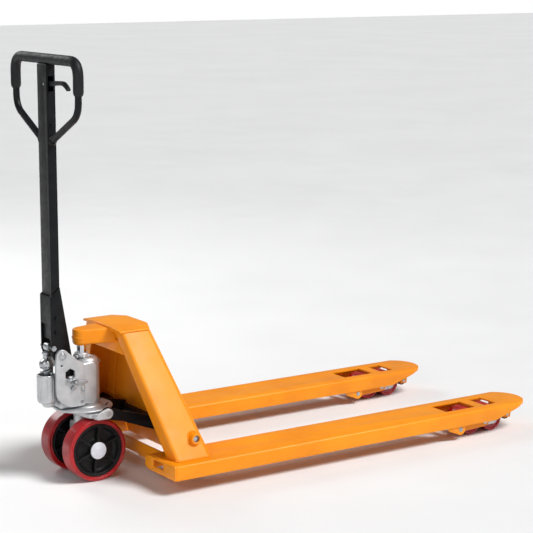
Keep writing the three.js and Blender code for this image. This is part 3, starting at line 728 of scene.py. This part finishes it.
def load_roller(name, x, y):
    half = [(10.4, 37), (18, 37), (19, 35.5), (31, 35.5), (32, 38), (38, 38), (40, 35.5)]
    return lathe(name, both_ways(half, y), (x, LOAD_ROLLER_Z), "y", closed=True, soften=1.0)


def entry_roller(name, y):
    half = [(5.4, 30), (9, 30), (10, 28.5), (13, 28.5), (14, 30), (15.6, 30), (16.8, 28)]
    return lathe(name, both_ways(half, y), ENTRY_ROLLER, "y", closed=True, soften=0.7)


def build_load_wheels():
    for word, side in SIDES:
        y = side * FORK_Y
        for end, x in LOAD_ROLLER_X.items():
            node = f"load_roller_{end}_{word}"
            stand_for(load_roller(f"roller_{end}_{word}", x, y), node)
            for number, face in enumerate((-1, 1)):
                profile = band(10.6, 16.5, y + face * 37.6, y + face * 36)
                seal = lathe(f"roller_seal_{end}_{word}_{number}", profile, (x, LOAD_ROLLER_Z), "y",
                             closed=True, soften=0.3)
                detail(seal, node, "zinc")
        stand_for(entry_roller(f"entry_wheel_{word}", y), f"entry_roller_{word}")
        stand_for(pin(f"entry_pin_{word}", ENTRY_ROLLER, 5, 39.5, y), f"entry_axle_{word}")
        stand_for(pin(f"arm_pin_{word}", ARM_PIVOT, 7.5, 76, y), f"arm_pivot_pin_{word}")
        stand_for(refined(f"swing_arm_{word}", 0.8, 35), f"swing_arm_{word}")
        stand_for(refined(f"bogie_{word}", 0.8, 35), f"bogie_{word}")
        stand_for(refined(f"push_rod_{word}", 0.8, 35), f"push_rod_{word}")


# ---------------------------------------------------------------- rocker and yoke
YOKE_PIN = (24, 197)                # x, z
YOKE_EAR_Y = (103, 112)


def build_rocker():
    stand_for(refined("rocker", 1.4, 35, 3), "rocker")


def build_yoke():
    plan = rounded([
        (-33, -36), (-22, -84), (-6, -89), (50, -89), (56, -80), (58, -34), (58, 34), (56, 80), (50, 89),
        (-6, 89), (-22, 84), (-33, 36),
    ], 14, steps=6)
    bridge = plate("yoke_bridge", [plan, circle((0, 0), 28.4, 48)], "z", 183, 196, 2.6, 4)
    stand_for(bridge, "yoke")
    for word, side in SIDES:
        near, far = sorted(side * y for y in YOKE_EAR_Y)
        ear = plate(f"yoke_ear_{word}", [bar((-6, 191.6), YOKE_PIN, 9, 15.2, 20)], "y", near, far, 2.4, 4)
        detail(ear, "yoke")
        low, high = sorted((side * 86, side * 105))
        detail(block(f"yoke_knuckle_{word}", -15, -4, low, high, 183.4, 196, 2.4), "yoke")
        tip = side * 112.6
        pin_bar = lathe(f"yoke_pin_{word}", [
            (0, side * 86), (7.4, side * 86), (8, side * 87), (8, tip - side * 0.6), (6.8, tip), (0, tip),
        ], YOKE_PIN, "y", soften=0.3, segments=40)
        stand_for(pin_bar, f"rocker_pin_{word}")
        profile = band(8.6, 11.4, side * 111.4, side * 112.9)
        ring = lathe(f"yoke_pin_ring_{word}", profile, YOKE_PIN, "y", closed=True, soften=0.5)
        detail(ring, "yoke", "silver_paint")
    washer = lathe("bearing_ring", band(30, 46, 196.4, 198.6), (0, 0), closed=True, soften=0.4)
    stand_for(washer, "thrust_bearing")


# ---------------------------------------------------------------- pump and steering
WHEEL_Y = 66                        # middle of a steering wheel's tread
WHEEL_AXIS = (0, 90)                # x, z
PISTON_X = -112
HANDLE_PIVOT = (-81, 363)
RESERVOIR_X = 14
EAR_WINDOW = (-58, 308)
VALVE = (-52, 268)
FILLER = (0, 327)                   # y, z
RELEASE_PIVOT = (-44, 286)
RELEASE_TIP = (-66, 292)
SPRING_RADIUS = 15.4
SPRING_TURNS = 7
SPRING_Z = (235.2, 327.8)


def ear_outline():
    return rounded([
        (-14, 213), (-14, 338), (-34, 346),
    ], [4, 14, 10], closed=False) + arc(HANDLE_PIVOT, 18.5, 38, 172, 26) + rounded([
        (-102, 338), (-102, 250), (-86, 228), (-60, 213),
    ], [20, 10, 8, 8], closed=False)


def pump_rib_path(side):
    """Down in a quarter wave from the rear of the ear, then nearly level towards the reservoir."""
    y = side * 43.2
    steps = [i / 24 for i in range(25)]
    down = [(-73 + 30 * t, y, 296 - 14 * math.sin(math.pi * min(1, t * 1.1) / 2)) for t in steps]
    level = [(-43 + 3.4 * i, y, 282 + 0.15 * i) for i in range(1, 11)]
    return down + level


def build_pump_casting():
    reservoir = lathe("reservoir", [
        (14.6, 344), (26, 344.6), (31, 342), (36, 335), (37, 328), (37, 222), (35, 212), (34.5, 205.5),
        (14.6, 205.5),
    ], (RESERVOIR_X, 0), closed=True, segments=96, soften=4)
    stand_for(reservoir, "pump_body")
    for word, side in SIDES:
        low, high = sorted((side * 33, side * 43.6))
        holes = [ngon(EAR_WINDOW, 17, 6, 30), circle((-84, 336), 3, 20)]
        ear = plate(f"pump_ear_{word}", [ear_outline(), *holes], "y", low, high, 2.2, 4)
        detail(ear, "pump_body")
        flank = plate(f"pump_flank_{word}", [rounded([
            (-22, 216), (18, 211), (30, 222), (30, 326), (20, 336), (-22, 334),
        ], 10, steps=5)], "y", *sorted((side * 20, side * 39.5)), 7, 6)
        detail(flank, "pump_body")
        rib = sweep(f"pump_rib_{word}", pump_rib_path(side), 2.8, 12,
                    ring_scale=lambda t: 0.55 + 0.45 * math.sin(math.pi * t))
        detail(rib, "pump_body")
    detail(block("pump_core", -58, 2, -34, 34, 214, 300, 4), "pump_body")
    # A black block behind the ear windows: painted shade standing in for the dark hollow seen through them.
    detail(block("pump_window_painted_shade", -74, -20, -24, 24, 296, 334, 4), "pump_body", "black_paint")
    cup = lathe("pump_cup", [
        (21.6, 232), (21.6, 303), (22.4, 307), (24.6, 308), (26.6, 306), (27, 300), (27, 238), (25, 229),
        (20, 226), (9.6, 226), (9.6, 232),
    ], (PISTON_X, 0), closed=True, segments=80, soften=2)
    detail(cup, "pump_body")
    for angle in (200, 250, 290):
        a = math.radians(angle)
        x, y = PISTON_X + 26.6 * math.cos(a), 26.6 * math.sin(a)
        detail(block(f"cup_rib_{angle}", x - 2, x + 2, y - 2, y + 2, 236, 300, 1.6), "pump_body")
    detail(block("cup_web", -90, -66, -30, 30, 230, 294, 6), "pump_body")
    detail(block("casting_foot", -82, 0, -27, 27, 206, 228, 5), "pump_body")
    foot = [(0, 214), (15, 214), (18, 217), (19, 227), (0, 227)]
    detail(lathe("cup_foot", foot, (PISTON_X + 6, 0), soften=2), "pump_body")


def build_pump_fittings():
    gland = lathe("gland_collar", [
        (14.4, 345.4), (20.8, 345.4), (20.8, 353), (19, 357.6), (16, 358), (14.4, 356.5),
    ], (0, 0), closed=True, soften=1.2)
    stand_for(gland, "gland")
    for number in range(6):
        a = math.radians(60 * number + 20)
        boss = lathe(f"gland_boss_{number}", [
            (0, 344), (5.2, 344), (5.2, 350), (3.6, 351.6), (0, 351.8),
        ], (19.5 * math.cos(a), 19.5 * math.sin(a)), soften=0.8, segments=24)
        detail(boss, "gland")
    plug = plate("filler_hex", [ngon(FILLER, 6, 6, 0)], "x", 51.2, 57, 0.8)
    stand_for(plug, "filler_plug")
    collar = lathe("filler_collar", band(0, 8, 46, 50.6), FILLER, "x", soften=0.8)
    detail(collar, "pump_body")
    hex_bolt("relief_valve", VALVE, "y", -43.6, -7, 11, "pump_body")
    hex_bolt("drain_screw", (-24, 226), "y", -39.4, -6, 9, "pump_body")
    hex_bolt("valve_left", VALVE, "y", 43.6, 7, 11, "pump_body")
    valve = lathe("lowering_valve", [
        (0, -52), (3.4, -52), (4.6, -50.6), (4.6, -47), (7, -46), (7, -43), (0, -43),
    ], (-20, 262), "y", soften=0.5)
    detail(valve, "pump_body", "zinc")


def spring_path():
    """A helix whose first and last turns lie nearly flat."""
    low, high = SPRING_Z
    count = 24 * SPRING_TURNS
    path = []
    for i in range(count + 1):
        t = i / count
        angle = 2 * math.pi * SPRING_TURNS * t
        climbed = min(1, max(0, (t * SPRING_TURNS - 0.75) / (SPRING_TURNS - 1.5)))
        z = low + (high - low) * climbed + 0.5 * math.sin(math.pi * t)
        path.append((PISTON_X + SPRING_RADIUS * math.cos(angle), SPRING_RADIUS * math.sin(angle), z))
    return path


def build_piston():
    profile = [
        (0, 270), (8.6, 270), (9, 272), (9, 330), (17.5, 330.6), (19.2, 334), (19.3, 341), (16.6, 347),
        (11, 350.4), (7, 352), (6.6, 358), (7, 364), (10.4, 366), (11, 368.5), (11, 371), (9.4, 373.3),
        (0, 373.5),
    ]
    stand_for(lathe("piston_bar", profile, (PISTON_X, 0), soften=0.9), "pump_piston")
    coil = sweep("spring_wire", spring_path(), 2.1, 12)
    stand_for(coil, "pump_spring")
    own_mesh(coil)


def build_release_lever():
    outline = bar(RELEASE_TIP, RELEASE_PIVOT, 4.6, 7.6, 16)
    arm = plate("release_arm", [outline, circle(RELEASE_TIP, 1.8, 16)], "y", -52.6, -45.2, 1.4, 3)
    stand_for(arm, "release_lever")
    toe = plate("release_toe", [bar(RELEASE_PIVOT, (-11, 282), 6.6, 4, 16)], "y", -52, -46, 1.6, 3)
    detail(toe, "release_lever")
    knob = lathe("release_pin", [
        (0, -53), (4.4, -53), (5, -52.2), (5, -45), (0, -45),
    ], RELEASE_PIVOT, "y", soften=0.4, segments=32)
    detail(knob, "release_lever")


def build_steer_base():
    flange = lathe("steer_flange", [
        (0, 199.2), (84.6, 199.2), (85.8, 200.4), (85.8, 203.6), (84.4, 205), (42, 205), (0, 205),
    ], (0, 0), segments=128, soften=0.6)
    stand_for(flange, "steer_base")
    detail(lathe("steer_column", [
        (0, 148), (25, 148), (26, 150), (26, 194), (30, 199.4), (0, 199.4),
    ], (0, 0), soften=2), "steer_base")
    detail(block("axle_block", -26, 26, -35, 35, 66.4, 156, 6, 4), "steer_base")
    pad = [(0, 204.6), (50, 204.6), (47, 208.5), (42, 209.4), (0, 209.4)]
    detail(lathe("flange_pad", pad, (8, 0), segments=96, soften=2), "steer_base")
    # Black patches on the flange top: painted shade standing in for the depth of its pockets and holes.
    for word, side in SIDES:
        outline = bar((49, side * 46), (70, side * 22), 2.2)
        pocket_shade = plate(f"flange_pocket_painted_shade_{word}", [outline], "z", 203.2, 205.5, 0.3)
        detail(pocket_shade, "steer_base", "black_paint")
        profile = band(0, 2.4, 203.5, 205.4)
        hole = lathe(f"flange_hole_painted_shade_{word}", profile, (34, side * 62), soften=0.2, segments=24)
        detail(hole, "steer_base", "black_paint")
    stand_for(pin("wheel_axle", WHEEL_AXIS, 10, 90.5), "steer_axle")


# ---------------------------------------------------------------- steering wheels
def spoke_ring(radius, half_width, angle, base, top):
    """Cross-section of a spoke at a radius, a little wider at its base."""
    cos, sin = math.cos(angle), math.sin(angle)
    corners = [(-half_width - 1, base), (-half_width, top), (half_width, top), (half_width + 1, base)]
    x, z = WHEEL_AXIS
    return [(x + radius * cos - u * sin, y, z + radius * sin + u * cos) for u, y in corners]


def build_spokes(word, side):
    """Six spokes on each face of a hub, lower halfway out."""
    for number in range(6):
        angle = math.radians(60 * number) + 0.4
        for face in (-1, 1):
            base, top, low_top = (side * WHEEL_Y + face * t for t in (5, 21, 17))
            facing = "in" if face * side < 0 else "out"
            spoke = loft(f"hub_rib_{word}_{number}_{facing}", [
                spoke_ring(25, 3.6, angle, base, top),
                spoke_ring(46, 2.9, angle, base, low_top),
                spoke_ring(67, 3.6, angle, base, top),
            ])
            detail(spoke, f"wheel_hub_{word}")


def build_wheel(word, side):
    y = side * WHEEL_Y
    tread = both_ways([
        (77, 24), (78.4, 24.6), (80.2, 24.4), (81, 23.6), (82, 24.6), (86, 25), (89, 23.4), (90, 20.5),
    ], y)
    tyre = lathe(f"tread_{word}", tread, WHEEL_AXIS, "y", closed=True, segments=144, soften=0.8)
    stand_for(tyre, f"wheel_tyre_{word}")
    dish = both_ways([
        (10.4, 25), (23, 25), (25, 23), (26.5, 14), (30, 8), (36, 6.5), (56, 6.5), (61, 8.5), (65, 14),
        (67, 21), (68.6, 23), (70.5, 23), (71, 21.6), (73.6, 21.6), (74.2, 23), (76, 23), (76.7, 22),
    ], y)
    hub = lathe(f"hub_{word}", dish, WHEEL_AXIS, "y", closed=True, segments=128, soften=1.2)
    stand_for(hub, f"wheel_hub_{word}")
    build_spokes(word, side)
    cap = lathe(f"cap_{word}", [
        (0, y + side * 25.3), (24.4, y + side * 25.3), (24.5, y + side * 27.4), (23.2, y + side * 29),
        (20, y + side * 29.6), (19.4, y + side * 29.2), (18.8, y + side * 29.7), (12, y + side * 30.3),
        (0, y + side * 30.5),
    ], WHEEL_AXIS, "y", segments=72, soften=0.5)
    stand_for(cap, f"hub_cap_{word}")
    profile = band(10.6, 22, y - side * 25.4, y - side * 24)
    ring = lathe(f"bearing_{word}", profile, WHEEL_AXIS, "y", closed=True, soften=0.3)
    detail(ring, f"wheel_hub_{word}", "zinc")


# ---------------------------------------------------------------- handle
MAST_X = -92
MAST = (-105, -79, 28)              # operator's face, front face, half-width
CLEVIS_Y = 32                       # outer face of its cheeks
ROLLER_PIN = (-103, 386)            # x, z
LOOP_HALF = 190
LOOP_TOP = 1188
LEVER_PIVOT = (-10, 1120)


def rounded_run(points, radii, spacing=4.0):
    """Dense points along straight runs joined by rounded corners."""
    outline = rounded(points, radii, closed=False, steps=10)
    dense = [Vector(outline[0])]
    for a, b in zip(outline, outline[1:]):
        a, b = Vector(a), Vector(b)
        count = max(1, int((b - a).length / spacing))
        dense += [a.lerp(b, i / count) for i in range(1, count + 1)]
    return dense


def build_mast():
    stand_for(refined("mast", 1.0, 40, 3), "mast")
    detail(block("mast_cap", MAST[0] + 0.2, MAST[1] - 0.2, -MAST[2] + 0.2, MAST[2] - 0.2, 1166, 1175, 2.5),
           "mast", "hub_black")
    for word, side in reversed(SIDES):
        face = side * MAST[2]
        for number, z in enumerate((1099, 1148.5)):
            rivet = lathe(f"mast_rivet_{number}_{word}", [
                (0, face), (3.2, face), (2.6, face + side * 1.3), (0, face + side * 1.8),
            ], (-97, z), "y", soften=0.5, segments=24)
            detail(rivet, "mast")
        hex_bolt(f"mast_bolt_{word}", (MAST_X, 1010), "y", face, side * 5, 9, "mast", "black_paint")


def build_clevis():
    stand_for(refined("clevis", 1.0, 35, 3), "clevis")
    for word, side in SIDES:
        face = side * CLEVIS_Y
        for name, z in (("clevis_bolt", 470), ("clevis_low_bolt", 430)):
            hex_bolt(f"{name}_{word}", (MAST_X, z), "y", face, side * 6, 11, "clevis", "black_paint")
        profile = band(8.2, 12, side * 43.9, side * 45.1)
        ring = lathe(f"pivot_clip_{word}", profile, HANDLE_PIVOT, "y", closed=True, soften=0.3)
        detail(ring, "handle_pivot_pin")
        low, high = sorted((side * 32.2, side * 36))
        nut = plate(f"roller_nut_{word}", [ngon(ROLLER_PIN, 8.2, 6, 10)], "y", low, high, 0.8)
        detail(nut, "pressure_roller_pin")
        weld(f"clevis_weld_{word}", [(-104, side * 31, 534), (-80.5, side * 31, 556)], 1.6, "clevis")
    stand_for(pin("pivot_bar", HANDLE_PIVOT, 8, 46), "handle_pivot_pin")
    stand_for(pin("roller_pin_bar", ROLLER_PIN, 5, 34), "pressure_roller_pin")
    half = [(5.4, 12), (9, 12), (10, 11), (11.4, 11.8), (12, 10.8)]
    roller = lathe("roller_ring", both_ways(half, 0), ROLLER_PIN, "y", closed=True, soften=0.4)
    stand_for(roller, "pressure_roller")


def build_loop():
    corner = 58
    tube = rounded_run([
        (MAST_X, 33, 966.5), (MAST_X, LOOP_HALF - 3, 1046), (MAST_X, LOOP_HALF, LOOP_TOP),
        (MAST_X, -LOOP_HALF, LOOP_TOP), (MAST_X, -LOOP_HALF + 3, 1046), (MAST_X, -33, 966.5),
    ], [0, 34, corner, corner, 34, 0])
    stand_for(sweep("loop_bar", tube, 9.5, 24), "loop_tube")
    grip = rounded_run([
        (MAST_X, LOOP_HALF - 1, 1098), (MAST_X, LOOP_HALF, LOOP_TOP), (MAST_X, -LOOP_HALF, LOOP_TOP),
        (MAST_X, -LOOP_HALF + 1, 1098),
    ], [0, corner, corner, 0])

    def swell(t):
        end = min(t, 1 - t) * 2
        return 0.80 + 0.20 * min(1, end * 22) ** 0.5
    stand_for(sweep("grip_sleeve", grip, 14.4, 32, ring_scale=swell), "loop_grip")
    for word, side in SIDES:
        collar = [(MAST_X, side * (27.5 + 9 * t), 963.7 + 4.7 * t) for t in (0, 0.25, 0.5, 0.75, 1)]
        socket = sweep(f"loop_socket_{word}", collar, 12.5, 24, ring_scale=lambda t: 1.1 - 0.2 * t)
        detail(socket, "loop_tube")


def build_lever():
    y0, z0 = LEVER_PIVOT
    top = [(22, 3), (10, 6), (0, 8), (-30, 9.6), (-60, 11), (-86, 12), (-100, 10.4), (-114, 3.5), (-127, -8)]
    bottom = [(-123, -13.5), (-110, -6), (-94, 1), (-60, -1), (-30, -4.5), (0, -8), (22, -3)]
    outline = rounded([(y0 + y, z0 + z) for y, z in top + bottom], 7, steps=4)
    stand_for(plate("lever_blade", [outline], "x", MAST_X - 6, MAST_X + 6, 2.2, 4), "control_lever")
    edge = [(y0 + y, z0 + z) for y, z in [(-56, 10.9), (-84, 11.9), (-97, 9), (-94, 3), (-58, 1.5)]]
    pad = plate("lever_pad", [rounded(edge, 4)], "x", MAST_X - 6.8, MAST_X + 6.8, 1.6, 3)
    detail(pad, "control_lever", "hub_black")
    profile = band(0, 3, MAST_X - 14, MAST_X + 14)
    stand_for(lathe("lever_pin_bar", profile, LEVER_PIVOT, "x", soften=0.5, segments=24), "lever_pin")
    rod = lathe("pull_rod_bar", band(0, 2.9, 404, 1114), (MAST_X, 8), soften=0.5, segments=20)
    stand_for(rod, "pull_rod")


def build_floor():
    bm = bmesh.new()
    bmesh.ops.create_grid(bm, x_segments=4, y_segments=4, size=FLOOR_HALF)
    floor = to_object("floor", bm)
    floor.data.materials.append(make_floor())


add_camera()
add_lights()
add_world()
build_floor()
build_frame()
build_load_wheels()
build_rocker()
build_yoke()
build_pump_casting()
build_pump_fittings()
build_piston()
build_release_lever()
build_steer_base()
for wheel_word, wheel_side in SIDES:
    build_wheel(wheel_word, wheel_side)
build_mast()
build_clevis()
build_loop()
build_lever()
